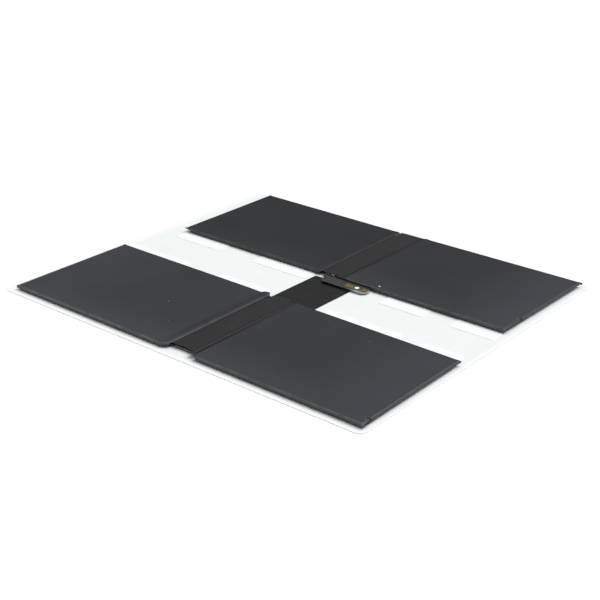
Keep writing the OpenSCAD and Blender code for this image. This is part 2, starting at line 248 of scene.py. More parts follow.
def mottle_group():
    """Slow uneven tone, such as handling leaves on a film."""
    tree, given, out = new_group(
        "soft_mottle",
        [("Vector", "NodeSocketVector", None), ("Scale", "NodeSocketFloat", 40.0),
         ("Low", "NodeSocketFloat", 0.0), ("High", "NodeSocketFloat", 1.0)],
        [("Value", "NodeSocketFloat")])
    cloud = add_node(
        tree, "ShaderNodeTexNoise",
        {"Vector": given.outputs["Vector"], "Scale": given.outputs["Scale"], "Detail": 4.0,
         "Roughness": 0.55})
    level = add_node(
        tree, "ShaderNodeMapRange",
        {"Value": cloud.outputs[0], "From Min": 0.3, "From Max": 0.7,
         "To Min": given.outputs["Low"], "To Max": given.outputs["High"]})
    tree.links.new(level.outputs["Result"], out.inputs["Value"])
    return tree


def streak_group():
    """Long faint drawing lines along one direction, stretched by the Vector's scale."""
    tree, given, out = new_group(
        "draw_streaks",
        [("Vector", "NodeSocketVector", None), ("Along", "NodeSocketVector", (1, 1, 1)),
         ("Scale", "NodeSocketFloat", 400.0)],
        [("Height", "NodeSocketFloat")])
    stretched = add_node(
        tree, "ShaderNodeVectorMath", {0: given.outputs["Vector"], 1: given.outputs["Along"]},
        operation="MULTIPLY")
    lines = add_node(
        tree, "ShaderNodeTexNoise",
        {"Vector": stretched.outputs[0], "Scale": given.outputs["Scale"], "Detail": 2.0})
    tree.links.new(lines.outputs[0], out.inputs["Height"])
    return tree


def dust_group():
    """Sparse grains of dust: a mask of small round specks."""
    tree, given, out = new_group(
        "dust_grains",
        [("Vector", "NodeSocketVector", None), ("Scale", "NodeSocketFloat", 260.0),
         ("Size", "NodeSocketFloat", 0.1), ("Share", "NodeSocketFloat", 0.1)],
        [("Mask", "NodeSocketFloat")])
    cells = add_node(
        tree, "ShaderNodeTexVoronoi",
        {"Vector": given.outputs["Vector"], "Scale": given.outputs["Scale"]})
    near = maths(tree, "LESS_THAN", cells.outputs["Distance"], given.outputs["Size"])
    pick = add_node(tree, "ShaderNodeSeparateColor", {0: cells.outputs["Color"]})
    chosen = maths(tree, "LESS_THAN", pick.outputs[0], given.outputs["Share"])
    tree.links.new(maths(tree, "MULTIPLY", near, chosen), out.inputs["Mask"])
    return tree


def edge_highlight_group():
    """Painted highlight along edges: where the Edge value is high, broken up by noise."""
    tree, given, out = new_group(
        "painted_edge_highlight",
        [("Vector", "NodeSocketVector", None), ("Edge", "NodeSocketFloat", 0.0),
         ("Scale", "NodeSocketFloat", 300.0), ("Amount", "NodeSocketFloat", 0.5)],
        [("Mask", "NodeSocketFloat")])
    broken = add_node(
        tree, "ShaderNodeTexNoise",
        {"Vector": given.outputs["Vector"], "Scale": given.outputs["Scale"], "Detail": 3.0})
    level = ramp(tree, broken.outputs[0], 0.3, 0.7, 0.35, 1.0)
    edge = maths(tree, "MULTIPLY", given.outputs["Edge"], given.outputs["Amount"])
    tree.links.new(maths(tree, "MULTIPLY", edge, level, clamp=True), out.inputs["Mask"])
    return tree


def speck_group():
    """One bit of lint that lies at a place, a little ragged."""
    tree, given, out = new_group(
        "lint_speck",
        [("Vector", "NodeSocketVector", None), ("Place", "NodeSocketVector", (0, 0, 0)),
         ("Size", "NodeSocketFloat", 0.0005)],
        [("Mask", "NodeSocketFloat")])
    ragged = add_node(
        tree, "ShaderNodeTexNoise", {"Vector": given.outputs["Vector"], "Scale": 2200.0})
    away = add_node(
        tree, "ShaderNodeVectorMath", {0: given.outputs["Vector"], 1: given.outputs["Place"]},
        operation="DISTANCE")
    reach = maths(
        tree, "MULTIPLY", given.outputs["Size"],
        maths(tree, "ADD", ragged.outputs[0], 0.5))
    inside = maths(tree, "LESS_THAN", away.outputs["Value"], reach)
    tree.links.new(inside, out.inputs["Mask"])
    return tree


GROUPS = {
    "grain": grain_group(), "mottle": mottle_group(), "streaks": streak_group(),
    "dust": dust_group(), "edge_highlight": edge_highlight_group(), "speck": speck_group()}


class Finish:
    """One material with its Principled shader, object coordinates and the shared groups."""

    def __init__(self, name, roughness=0.5, metallic=0.0, specular=0.5):
        self.material = bpy.data.materials.new(name)
        self.material.use_nodes = True
        self.tree = self.material.node_tree
        self.shader = self.tree.nodes["Principled BSDF"]
        self.shader.inputs["Metallic"].default_value = metallic
        self.shader.inputs["Roughness"].default_value = roughness
        self.shader.inputs["Specular IOR Level"].default_value = specular
        self.place = add_node(self.tree, "ShaderNodeTexCoord").outputs["Object"]

    def use(self, group, **values):
        inputs = {key.replace("_", " ").title(): value for key, value in values.items()}
        inputs.setdefault("Vector", self.place)
        return add_node(self.tree, "ShaderNodeGroup", inputs, node_tree=GROUPS[group]).outputs[0]

    def attribute(self, name):
        return add_node(self.tree, "ShaderNodeAttribute", attribute_name=name).outputs["Fac"]

    def axis(self, number):
        """One of the object coordinates, in metres."""
        return add_node(self.tree, "ShaderNodeSeparateXYZ", {0: self.place}).outputs[number]

    def upright(self, limit):
        """Mask of the faces that stand up: those whose normal's height is below a limit."""
        normal = add_node(self.tree, "ShaderNodeNewGeometry").outputs["Normal"]
        height = add_node(self.tree, "ShaderNodeSeparateXYZ", {0: normal}).outputs[2]
        return maths(self.tree, "LESS_THAN", maths(self.tree, "ABSOLUTE", height), limit)

    def colour(self, socket):
        self.tree.links.new(socket, self.shader.inputs["Base Color"])

    def rough(self, socket):
        self.tree.links.new(socket, self.shader.inputs["Roughness"])

    def relief(self, heights):
        """Adds up bumps, each a height socket and its depth in metres."""
        normal = None
        for socket, depth in heights:
            inputs = {"Height": socket, "Distance": depth, "Strength": 1.0}
            if normal is not None:
                inputs["Normal"] = normal
            normal = add_node(self.tree, "ShaderNodeBump", inputs).outputs["Normal"]
        self.tree.links.new(normal, self.shader.inputs["Normal"])


def rgb(r, g, b):
    return (r, g, b, 1.0)


# Lint on the cells, in millimetres: place, size and strength
LINT = [
    ((35.9, 24.8, 3.05), 0.62, 0.95), ((-37, -61, 3.05), 0.4, 0.25), ((-20, -78, 3.05), 0.34, 0.2),
    ((42, -26, 3.05), 0.3, 0.2), ((72, -33, 3.05), 0.26, 0.2)]


def pouch_film():
    """Matt black laminate of the cells: fine grain, dust and lint, with a painted highlight on its edges and
    a painted sheen that lightens parts of it.
    """
    f = Finish("pouch_film", specular=0.4)
    tone = f.use("mottle", scale=28.0, low=0.0, high=1.0)
    plain = blend_colour(f.tree, tone, rgb(0.0145, 0.0155, 0.0175), rgb(0.0185, 0.0195, 0.0215))
    # Painted sheen: a lighter copy of the film, blended in by the tone attribute
    painted_sheen_colour = blend_colour(f.tree, tone, rgb(0.051, 0.0525, 0.0605), rgb(0.055, 0.0565, 0.0645))
    colour = blend_colour(f.tree, f.attribute("tone"), plain, painted_sheen_colour)
    # Painted highlight: the edge attribute lightens shoulders, crest and far-end lines towards light grey
    edge_highlight_mask = f.use("edge_highlight", edge=f.attribute("edge"), scale=220.0, amount=1.0)
    colour = blend_colour(f.tree, edge_highlight_mask, colour, rgb(0.15, 0.15, 0.152))
    dust = f.use("dust", scale=190.0, size=0.06, share=0.05)
    colour = blend_colour(f.tree, maths(f.tree, "MULTIPLY", dust, 0.3), colour, rgb(0.3, 0.3, 0.3))
    for place, size, strength in LINT:
        speck = f.use("speck", place=tuple(v * MM for v in place), size=size * MM)
        speck = maths(f.tree, "MULTIPLY", speck, strength)
        colour = blend_colour(f.tree, speck, colour, rgb(0.75, 0.76, 0.78))
    f.colour(colour)
    f.rough(f.use("mottle", scale=60.0, low=0.3, high=0.38))
    f.relief([
        (f.use("mottle", scale=90.0, low=0.0, high=1.0), 0.00003),
        (f.use("grain", scale=2600.0), 0.00002)])
    return f.material


def cover_tape():
    """Satin black tape: drawn along its length, smoother than the pouch film."""
    f = Finish("cover_tape")
    tone = f.use("mottle", scale=70.0, low=0.0, high=1.0)
    colour = blend_colour(f.tree, tone, rgb(0.0095, 0.0096, 0.0115), rgb(0.0135, 0.0136, 0.0155))
    # Painted highlight along the tape's edges, through the edge attribute
    edge_highlight_mask = f.use("edge_highlight", edge=f.attribute("edge"), scale=400.0, amount=0.6)
    colour = blend_colour(f.tree, edge_highlight_mask, colour, rgb(0.06, 0.06, 0.06))
    dust = f.use("dust", scale=420.0, size=0.09, share=0.05)
    colour = blend_colour(f.tree, maths(f.tree, "MULTIPLY", dust, 0.35), colour, rgb(0.3, 0.3, 0.3))
    f.colour(colour)
    f.rough(f.use("mottle", scale=120.0, low=0.46, high=0.56))
    f.relief([
        (f.use("streaks", along=(1.0, 0.06, 1.0), scale=900.0), 0.00006),
        (f.use("mottle", scale=480.0, low=0.0, high=1.0), 0.00007),
        (f.use("grain", scale=3200.0), 0.000012)])
    return f.material


def flex_film():
    """Glossy black coverlay over the copper tracks of the bridge circuit."""
    f = Finish("flex_film", specular=0.35)
    tone = f.use("mottle", scale=60.0, low=0.0, high=1.0)
    f.colour(blend_colour(f.tree, tone, rgb(0.008, 0.0083, 0.0088), rgb(0.0115, 0.012, 0.0125)))
    f.rough(f.use("mottle", scale=140.0, low=0.34, high=0.46))
    f.relief([
        (f.use("streaks", along=(1.0, 0.02, 1.0), scale=420.0), 0.00005),
        (f.use("grain", scale=2200.0), 0.00001)])
    return f.material


def circuit_board():
    """Black solder mask on top, and the glass fibre showing on the cut edges.

    On the tongue the cut faces are darker, with a painted highlight along their upper front edge, and mask
    and fibre are lighter round its tip.
    """
    f = Finish("circuit_board")
    cut = f.upright(0.6)
    tone = f.use("mottle", scale=300.0, low=0.0, high=1.0)
    mask = blend_colour(f.tree, tone, rgb(0.030, 0.031, 0.032), rgb(0.042, 0.043, 0.044))
    fibre = blend_colour(
        f.tree, f.use("streaks", along=(1.0, 1.0, 6.0), scale=900.0),
        rgb(0.07, 0.071, 0.07), rgb(0.09, 0.092, 0.088))
    tongue = ramp(f.tree, f.axis(1), *TONGUE_Y)
    crown_highlight = ramp(f.tree, f.axis(2), *CROWN_Z)
    fibre = blend_colour(f.tree, tongue, fibre, rgb(0.03, 0.031, 0.03))
    # Painted highlight: the upper part of the tongue's cut faces is coloured light grey
    fibre = blend_colour(f.tree, maths(f.tree, "MULTIPLY", tongue, crown_highlight), fibre, rgb(0.45, 0.455, 0.445))
    light_tip = ramp(f.tree, f.axis(0), *LIGHT_TIP_X)
    mask_rim = ramp(f.tree, f.axis(1), *RIM_Y)
    pale_rim = maths(f.tree, "MULTIPLY", maths(f.tree, "MULTIPLY", light_tip, tongue), mask_rim)
    mask = blend_colour(f.tree, maths(f.tree, "MULTIPLY", pale_rim, 0.9), mask, rgb(0.36, 0.38, 0.35))
    fibre = blend_colour(f.tree, maths(f.tree, "MULTIPLY", light_tip, 0.9), fibre, rgb(0.5, 0.53, 0.48))
    f.colour(blend_colour(f.tree, cut, mask, fibre))
    f.rough(f.use("mottle", scale=500.0, low=0.36, high=0.5))
    f.relief([(f.use("grain", scale=3500.0), 0.000012)])
    return f.material


def contact_gold():
    """Gold contacts, rubbed to a brownish tone."""
    f = Finish("contact_gold", metallic=1.0)
    tone = f.use("mottle", scale=420.0, low=0.0, high=1.0)
    f.colour(blend_colour(f.tree, tone, rgb(0.30, 0.24, 0.13), rgb(0.46, 0.37, 0.20)))
    f.rough(f.use("mottle", scale=700.0, low=0.32, high=0.5))
    f.relief([(f.use("streaks", along=(0.15, 1.0, 1.0), scale=3000.0), 0.000008)])
    return f.material


def tin_plate():
    """Tin on the eyelet: dull on its flat rim, and coloured near white inside the hole, a painted highlight.

    The wall of the hole glows a little, which real tin doesn't, so that the small hole
    reads white. HOLE_GLOW 0 takes that away.
    """
    f = Finish("tin_plate", metallic=0.2)
    wall = f.upright(0.5)
    tone = f.use("mottle", scale=900.0, low=0.0, high=1.0)
    dull = blend_colour(f.tree, tone, rgb(0.2, 0.19, 0.16), rgb(0.3, 0.29, 0.25))
    # Painted highlight: the hole's wall is coloured near white
    painted_highlight_wall = blend_colour(f.tree, tone, rgb(0.95, 0.95, 0.96), rgb(0.98, 0.98, 0.98))
    f.colour(blend_colour(f.tree, wall, dull, painted_highlight_wall))
    glow = blend_colour(f.tree, wall, rgb(0, 0, 0), rgb(*[HOLE_GLOW] * 3))
    feed(f.tree, f.shader, {"Emission Color": glow, "Emission Strength": 1.0})
    f.rough(f.use("mottle", scale=1500.0, low=0.2, high=0.36))
    f.relief([(f.use("grain", scale=5000.0), 0.000006)])
    return f.material


def solder_plate():
    """Leads and end caps of the parts on the boards: solder dulled by flux."""
    f = Finish("solder_plate", metallic=0.7)
    tone = f.use("mottle", scale=900.0, low=0.0, high=1.0)
    f.colour(blend_colour(f.tree, tone, rgb(0.12, 0.1, 0.07), rgb(0.26, 0.22, 0.15)))
    f.rough(f.use("mottle", scale=1500.0, low=0.35, high=0.55))
    f.relief([(f.use("grain", scale=5000.0), 0.000008)])
    return f.material


def tab_metal(name, dark, light):
    """Rolled tab strip, with lines along its length and dark sealing film where it leaves a cell."""
    f = Finish(name, metallic=1.0)
    tone = f.use("mottle", scale=500.0, low=0.0, high=1.0)
    metal = blend_colour(f.tree, tone, rgb(*dark), rgb(*light))
    from_middle = maths(f.tree, "ABSOLUTE", maths(f.tree, "SUBTRACT", f.axis(0), CHANNEL_X * MM))
    sealed = ramp(f.tree, from_middle, SEALANT_FROM * MM, (SEALANT_FROM + 0.1) * MM)
    f.colour(blend_colour(f.tree, sealed, metal, rgb(0.012, 0.012, 0.013)))
    f.tree.links.new(maths(f.tree, "SUBTRACT", 1.0, sealed), f.shader.inputs["Metallic"])
    f.rough(f.use("mottle", scale=900.0, low=0.3, high=0.45))
    f.relief([(f.use("streaks", along=(0.05, 1.0, 1.0), scale=4000.0), 0.000008)])
    return f.material


def moulded_epoxy(name, dark, light):
    """Moulded package of a chip: dull, with a fine sandy skin."""
    f = Finish(name)
    tone = f.use("mottle", scale=800.0, low=0.0, high=1.0)
    f.colour(blend_colour(f.tree, tone, rgb(*dark), rgb(*light)))
    f.rough(f.use("mottle", scale=1200.0, low=0.5, high=0.65))
    f.relief([(f.use("grain", scale=6000.0), 0.00001)])
    return f.material


def board_foam():
    """Closed-cell foam under the boards."""
    f = Finish("board_foam", specular=0.3)
    tone = f.use("mottle", scale=500.0, low=0.0, high=1.0)
    f.colour(blend_colour(f.tree, tone, rgb(0.016, 0.016, 0.017), rgb(0.03, 0.03, 0.031)))
    f.rough(f.use("mottle", scale=700.0, low=0.8, high=0.95))
    f.relief([(f.use("grain", scale=1800.0), 0.00008)])
    return f.material


def white_adhesive():
    """Double-sided tape: white, with soft waves where it was pressed on."""
    f = Finish("white_adhesive", specular=0.3)
    tone = f.use("mottle", scale=120.0, low=0.0, high=1.0)
    f.colour(blend_colour(f.tree, tone, rgb(0.93, 0.94, 0.95), rgb(0.97, 0.975, 0.98)))
    f.rough(f.use("mottle", scale=300.0, low=0.5, high=0.65))
    f.relief([(f.use("mottle", scale=260.0, low=0.0, high=1.0), 0.00003)])
    return f.material


def liner_film():
    """Milky release film with a faint cool tint, with painted light making its front, left and right margins
    lighter, and its cut edge coloured near white as painted light.
    """
    f = Finish("liner_film", specular=0.3)
    tone = f.use("mottle", scale=9.0, low=0.0, high=1.0)
    film = blend_colour(f.tree, tone, rgb(0.868, 0.903, 0.893), rgb(0.885, 0.913, 0.912))
    # Painted light: the front, right and left margins turn lighter
    front = ramp(f.tree, f.axis(1), *LINER_FRONT)
    right = ramp(f.tree, f.axis(0), *LINER_RIGHT)
    left = ramp(f.tree, f.axis(0), *LINER_LEFT)
    painted_light_margin = maths(f.tree, "MAXIMUM", maths(f.tree, "MAXIMUM", front, right), left)
    film = blend_colour(f.tree, maths(f.tree, "MULTIPLY", painted_light_margin, 0.8), film, rgb(0.965, 0.965, 0.965))
    # Painted light: the upright cut edge is coloured near white against its shade
    f.colour(blend_colour(f.tree, f.upright(0.5), film, rgb(0.98, 0.98, 0.98)))
    f.rough(f.use("mottle", scale=80.0, low=0.45, high=0.6))
    f.relief([
        (f.use("mottle", scale=35.0, low=0.0, high=1.0), 0.00004),
        (f.use("grain", scale=1500.0), 0.000006)])
    return f.material


# Meshes


def make_piece(name, points, faces, slot, material, sharp=SHARP_ANGLE, **values):
    """Welds points and faces in millimetres into a closed smooth piece that rides on the root.

    Further values, one for each point, go to the material as attributes.
    """
    mesh = bpy.data.meshes.new(name)
    mesh.from_pydata([tuple(p) for p in np.asarray(points) * MM], [], faces)
    for label, numbers in values.items():
        layer = mesh.attributes.new(label, "FLOAT", "POINT")
        layer.data.foreach_set("value", np.asarray(numbers, np.float32))
    bm = bmesh.new()
    bm.from_mesh(mesh)
    bmesh.ops.remove_doubles(bm, verts=bm.verts, dist=WELD)
    bmesh.ops.dissolve_degenerate(bm, edges=bm.edges, dist=WELD)
    bmesh.ops.recalc_face_normals(bm, faces=bm.faces)
    bm.to_mesh(mesh)
    bm.free()
    mesh.shade_smooth()
    mesh.set_sharp_from_angle(angle=sharp)
    mesh.materials.append(material)
    piece = bpy.data.objects.new(name, mesh)
    bpy.context.scene.collection.objects.link(piece)
    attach(piece, "root")
    return piece


def quads(grid, wrap=False):
    """Quads over a 2-D array of point numbers, closed round its second axis if asked."""
    if wrap:
        grid = np.concatenate([grid, grid[:, :1]], axis=1)
    a, b = grid[:-1, :-1].ravel(), grid[:-1, 1:].ravel()
    c, d = grid[1:, 1:].ravel(), grid[1:, :-1].ravel()
    return np.stack([a, b, c, d], axis=1).tolist()


def rim(grid):
    """Point numbers round the border of a grid, in order."""
    return np.concatenate([grid[:, 0], grid[-1, 1:], grid[-2::-1, -1], grid[0, -2:0:-1]])


def slab(top, under):
    """Closed skin between two grids of points of the same shape."""
    rows, cols = top.shape[:2]
    points = np.concatenate([top.reshape(-1, 3), under.reshape(-1, 3)])
    index = np.arange(len(points)).reshape(2, rows, cols)
    faces = quads(index[0]) + quads(index[1])
    return points, faces + quads(np.array([rim(index[0]), rim(index[1])]), wrap=True)


def joined(*shells):
    """Several shells as one list of points and one of faces."""
    points, faces = np.zeros((0, 3)), []
    for more, its_faces in shells:
        faces += [[v + len(points) for v in face] for face in its_faces]
        points = np.concatenate([points, np.asarray(more)])
    return points, faces


def rounded_box(low, high, r, steps=2):
    """Box with rounded edges."""
    bm = bmesh.new()
    bmesh.ops.create_cube(bm, size=1)
    low, high = np.array(low, float), np.array(high, float)
    for v in bm.verts:
        v.co = (np.array(v.co) + 0.5) * (high - low) + low
    bmesh.ops.bevel(bm, geom=bm.edges[:], offset=r, segments=steps, profile=0.5, affect="EDGES")
    bm.verts.index_update()
    shell = [tuple(v.co) for v in bm.verts], [[v.index for v in f.verts] for f in bm.faces]
    bm.free()
    return shell


def ease(t):
    t = np.clip(t, 0, 1)
    return t * t * (3 - 2 * t)


def hump(value, centre, half_width):
    """Smooth bump of height 1 that reaches zero half_width away from its centre."""
    return ease(1 - np.abs(value - centre) / half_width)


def ripple(x, y, seed, length):
    """Slow uneven swell from a few crossing waves, between about -1 and 1."""
    total = 0
    for k in range(5):
        turn = seed * 1.7 + k * 2.4
        wave = 2 * math.pi / (length * (0.6 + 0.23 * k))
        total = total + np.sin((x * math.cos(turn) + y * math.sin(turn)) * wave + seed * 3.1 + k * 1.9)
    return total / 5


def corner_shift(away, r):
    """How far a round corner of radius r pulls in a side, at a distance from the end."""
    t = np.clip(r - away, 0, r)
    return r - np.sqrt(np.maximum(r * r - t * t, 0))


class CellForm:
    """Heights and edges of one pouch cell, in its own frame.

    roll, crest and valley shape the terminal edge. slope is the far end's slope as width
    and drop, flap the length of the folded flap at its front corner, and proud says
    whether the front and the rear side seal stand above the slope. tapers give each
    seal's lower edge at the far end, and near the front seal's at the terminal end, over
    what length and to what height. spread is what the rear side lies further back at the
    terminal and the far end, starts and ends how far the terminal and the far end lie
    further out at the front and the rear. sheen is the strength of the painted highlight on
    the front shoulder, the rear shoulder and the crest, and tone the painted sheen that
    makes the film lighter: overall, at the far end and at the front.
    """

    def __init__(
            self, length, seed, roll, crest, valley, slope, flap, proud, corner_r, tapers, near, spread,
            starts, ends, sheen, tone):
        self.length, self.height, self.seed = length, CELL_T, seed
        self.roll, self.crest, self.valley = roll, crest, valley
        self.slope, self.drop = slope
        self.flap, self.proud, self.corner_r = flap, proud, corner_r
        self.tapers, self.near, self.spread = tapers, near, spread
        self.starts, self.ends, self.sheen, self.tone = starts, ends, sheen, tone
        self.cup_end = length - CUP_END_GAP

    def placed(self, points):
        """Slants both ends, by moves that fade out towards the middle of the cell."""
        x, share = points[:, 0], points[:, 1] / CELL_W
        start = self.starts[0] + (self.starts[1] - self.starts[0]) * share
        end = self.ends[0] + (self.ends[1] - self.ends[0]) * share
        fading = 1 - ease(x / START_REACH)
        growing = ease((x / self.length - END_FROM) / (1 - END_FROM))
        moved = x + start * fading + end * growing
        return np.column_stack([moved, points[:, 1:]])

    def painted_sheen_tone(self, points):
        """Strength of the painted sheen at each point, which lightens the film towards the far end and the
        front.
        """
        overall, outer, front = self.tone
        outward = outer * ease((points[:, 0] / self.length - OUTER_SHEEN_FROM) / (1 - OUTER_SHEEN_FROM))
        return overall + np.maximum(outward, front * ease(1 - points[:, 1] / FRONT_SHEEN_W))

    def width(self, x):
        near, far = self.spread
        return CELL_W + near + (far - near) * x / self.length

    def bevel(self, y):
        """Width of the slope at the far end, a little uneven."""
        return self.slope * (1 + 0.12 * ripple(y, 0 * y, self.seed, 34))

    def nick(self, y):
        """Nick where the flap ends, from 0 to 1."""
        return hump(y, self.flap + NICK_X, NICK_HALF) if self.flap else 0 * y

    def terminal(self, x):
        """Profile beside the terminal end: rolled tip, crest and the valley behind it."""
        tip = np.clip(1 - x / ROLL_W, 0, 1)
        fall = -self.roll * (1 - np.sqrt(1 - tip * tip))
        down = ease((x - CREST_END) / (VALLEY_X - CREST_END))
        back = ease((x - VALLEY_X) / (LEVEL_X - VALLEY_X))
        return fall + self.crest * (1 - down) - self.valley * down * (1 - back)

    def top(self, x, y):
        behind = self.width(x) - y
        side = np.minimum(y, behind)
        border = -0.05 * ease(1 - side / 3.2)
        swell = 0.035 * ripple(x, y, self.seed, 46) + 0.012 * ripple(x, y, self.seed + 5, 17)
        swell = swell * ease(side / 6) * ease((self.length - x) / 8) * ease((x - 6) / 8)
        bevel = self.bevel(y)
        away = self.length - x
        slope = np.clip(1 - away / bevel, 0, 1) ** 1.2
        if self.proud[0]:
            slope = slope * ease((y - 0.5) / 1.2)
        if self.proud[1]:
            slope = slope * ease((behind - 0.5) / 1.2)
        lip = 0.03 * hump(away, bevel + 0.5, 0.9)
        flap = 0
        if self.flap:
            inward = bevel + 0.4 + 1.3 * np.clip(y / self.flap, 0, 1)
            flap = FLAP_DROP * ease((self.flap - y) / 0.35) * ease((inward - away) / 0.5)
        pit = NICK_DEPTH * self.nick(y) * ease((bevel + 1.1 - away) / 0.7)
        return self.height + self.terminal(x) + border + swell - self.drop * slope + lip - flap - pit

    def underside(self, x):
        rise = self.height - SEAL_T
        t = (x - TERRACE) / RAMP
        ramp_part = rise * (1 - ease(t) * 0.45 - np.clip(t, 0, 1) * 0.55)
        t = np.clip(x - (self.cup_end - EDGE_R), 0, EDGE_R)
        return ramp_part + EDGE_R - np.sqrt(EDGE_R ** 2 - t * t)

    def fold_edge(self, x, rear):
        """Height of a folded seal's lower edge, which rises towards both ends."""
        reach, tall = self.tapers[rear]
        wavy = FOLD_LOW + 0.07 * math.sin(x * 0.21 + self.seed + 2 * rear)
        tip = (self.height - SEAL_T) * float(ease((1.6 - x) / 1.4))
        near_reach, near_tall = self.near
        near = near_tall * (1 - x / near_reach)
        return max(wavy, tip, near, tall * (1 - (self.length - x) / reach))


def stations(length):
    """Places of the rings along a cell, close together at both ends."""
    near = np.concatenate([np.linspace(0, 1.3, 13), np.linspace(1.5, 2.9, 8), np.linspace(3.2, 13, 30)])
    far = np.concatenate([length - np.linspace(6, 2.6, 8), length - np.linspace(2.4, 0, 22)])
    middle = np.linspace(near[-1], far[0], int((far[0] - near[-1]) / 1.6))[1:-1]
    return np.concatenate([near, middle, far])


def columns(flap):
    """Shares of the width at which a ring has points, close together at the sides and the nick."""
    edge = np.array([0, 0.35, 0.9, 1.7, 2.8]) / CELL_W
    inner = np.linspace(edge[-1], 1 - edge[-1], 52)[1:-1]
    if flap:
        near = (flap + NICK_X + np.linspace(*NICK_FINE, 15)) / CELL_W
        inner = np.concatenate([inner[(inner < near[0] - 0.002) | (inner > near[-1] + 0.002)], near])
    return np.sort(np.concatenate([edge, inner, 1 - edge[::-1]]))


def side_rows(form, x, rear):
    """Rows of points down one side at one station: distance from the side, height and kind."""
    beside = form.width(x) - SHOULDER_R if rear else SHOULDER_R
    top = float(form.top(np.array(x), np.array(beside)))
    low = float(form.underside(np.array(x)))
    height = top - low
    corner_r = SHARP_CORNER_R if rear else form.corner_r
    pull = float(corner_shift(np.array(x), corner_r))
    cup_pull = float(corner_shift(np.array(form.cup_end - min(x, form.cup_end)), CUP_CORNER_R))
    edge_r = min(EDGE_R, 0.4 * height)
    shoulder = min(SHOULDER_R, 0.45 * height)
    fold_low = min(form.fold_edge(x, rear), top - shoulder - 0.15)
    bead = min(FOLD_T / 2, (top - shoulder - fold_low) / 2)
    seed = form.seed + 2 * rear
    wave = 0.05 * (1 + math.sin(x * 0.33 + 2 * seed) * math.sin(x * 0.071 + seed)) * min(1, height)
    wall = FOLD_T + pull + cup_pull
    rows = []
    for k in range(1, 4):
        a = math.radians(90 * k / 3)
        rows.append((wall + CUP_DRAFT + edge_r * (1 - math.sin(a)), low + edge_r * (1 - math.cos(a)), "cup"))
    rows.append((wall, min(max(fold_low - 0.02, low + edge_r), top - shoulder - 0.02), "cup"))
    for a in (0, 45, 90, 135, 180):
        t = math.radians(a)
        d = pull + FOLD_T / 2 + bead * math.cos(t)
        rows.append((d + wave * a / 180, fold_low + bead * (1 - math.sin(t)), "fold"))
    for k in range(1, 4):
        z0, z1 = fold_low + bead, top - shoulder
        rows.append((pull + wave * (1 - k / 4), z0 + (z1 - z0) * k / 4, "fold"))
    for k in range(0, 5):
        a = math.radians(90 * k / 5)
        rows.append((pull + shoulder * (1 - math.cos(a)), top - shoulder * (1 - math.sin(a)), "lid"))
    return rows, wall + CUP_DRAFT + edge_r, pull + shoulder


def cell_shell(form):
    """Closed skin of a cell without its ears: rings along X, closed by a grid at each end."""
    xs, share = stations(form.length), columns(form.flap)
    count = len(share)
    rings, edges = [], []
    for x in xs:
        width = form.width(x)
        front, front_low, front_top = side_rows(form, x, False)
        rear, rear_low, rear_top = side_rows(form, x, True)
        y_low = front_low + (width - rear_low - front_low) * share
        y_top = front_top + (width - rear_top - front_top) * share
        x_cup = min(x, form.cup_end)
        ring = [(x_cup, y, float(form.underside(np.array(x_cup)))) for y in y_low]
        tags = [0.0] * count
        # Each point's edge value sets its painted highlight: sheen on the shoulders, 0.1 elsewhere on the
        # sides
        for d, z, kind in rear:
            ring.append((x_cup if kind == "cup" else x, width - d, z))
            tags.append(form.sheen[1] if kind == "lid" else 0.1)
        pulled = x - 0.7 * form.nick(y_top) * ease((x - form.length + 2.5) / 2.2)
        z_top = form.top(np.full(count, x), y_top)
        ring += [(pulled[k], y_top[k], z_top[k]) for k in range(count - 1, -1, -1)]
        # Painted highlights along the break of the far end's slope and along the crest
        end_highlight = 0.4 * float(hump(np.array(x), form.length - form.slope, 0.6))
        crest_highlight = form.sheen[2] * float(hump(np.array(x), 0.8, 0.9))
        tags += [max(end_highlight, crest_highlight)] * count
        for d, z, kind in reversed(front):
            ring.append((x_cup if kind == "cup" else x, d, z))
            tags.append(form.sheen[0] if kind == "lid" else 0.1)
        rings.append(ring)
        edges.append(tags)
    points = [p for ring in rings for p in ring]
    tags = [t for row in edges for t in row]
    size = len(rings[0])
    index = np.arange(len(points)).reshape(len(xs), size)
    faces = quads(index, wrap=True)
    side = (size - 2 * count) // 2
    for ring_no in (0, len(xs) - 1):
        ring = index[ring_no]
        width = form.width(xs[ring_no])
        front_side = ring[2 * count + side:][::-1]
        rear_side = ring[count:count + side]
        rows = [ring[:count]]
        for k in range(side):
            row = [front_side[k]]
            f, r = np.array(points[front_side[k]]), np.array(points[rear_side[k]])
            lip = k - (side - 4)
            if ring_no and k >= CUP_ROWS:
                drawn = CUP_CORNER_R * (1 - min((k - CUP_ROWS) / (side - 4 - CUP_ROWS), 1)) ** 1.5
                f = np.array([form.cup_end, SHOULDER_R + 0.3 + drawn, f[2]])
                r = np.array([form.cup_end, width - SHOULDER_R - 0.3 - drawn, r[2]])
                if lip >= 0:
                    f[0] = r[0] = form.length - 0.5 + 0.16 * lip
            for c in range(1, count - 1):
                p = f + (r - f) * share[c]
                if ring_no:
                    lid = float(form.top(np.array(form.length), np.array(p[1])))
                    p[2] = lid - LID_T * (1 - lip / 4) if lip >= 0 else min(p[2], lid - LID_T)
                    p[0] -= form.nick(np.array(p[1])) * 0.8
                points.append(tuple(p))
                tags.append(0.0)
                row.append(len(points) - 1)
            row.append(rear_side[k])
            rows.append(np.array(row))
        rows.append(ring[count + side:2 * count + side][::-1])
        faces += quads(np.array(rows))
    return np.array(points), faces, tags


